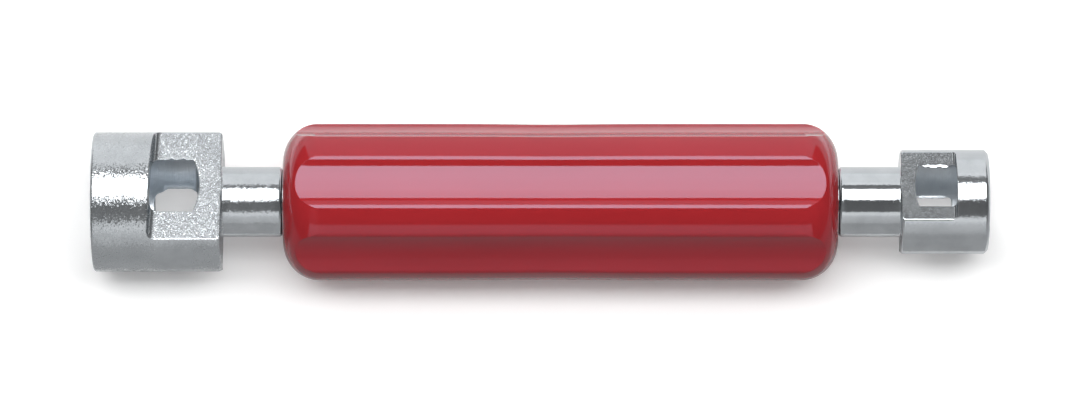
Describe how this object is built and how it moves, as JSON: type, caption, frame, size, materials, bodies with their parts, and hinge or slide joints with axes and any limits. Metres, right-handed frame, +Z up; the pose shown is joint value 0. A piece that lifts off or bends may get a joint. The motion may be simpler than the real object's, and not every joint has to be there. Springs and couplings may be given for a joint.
{
  "type": "brake spring tool",
  "caption": "Double-ended brake spring tool: fluted red plastic handle with a large and a small windowed steel cup pressed into its ends, for turning hold-down spring washers.",
  "frame": {"origin": "on the tool's axis, half way between the rims of the two cups", "axes": "+X along the tool's axis towards the small cup, +Z up as the tool lies on a bench on two lands of its handle"},
  "size_m": [0.1826, 0.0322, 0.0302],
  "materials": {
    "handle_plastic": "glossy solid red plastic, polished",
    "large_cup_steel": "bright zinc plating over coarse turned and milled steel",
    "small_cup_steel": "bright zinc plating over fine turned and milled steel"
  },
  "bodies": {
    "root": {"handle": "handle_plastic", "large_cup": "large_cup_steel", "small_cup": "small_cup_steel"}
  },
  "joints": []
}
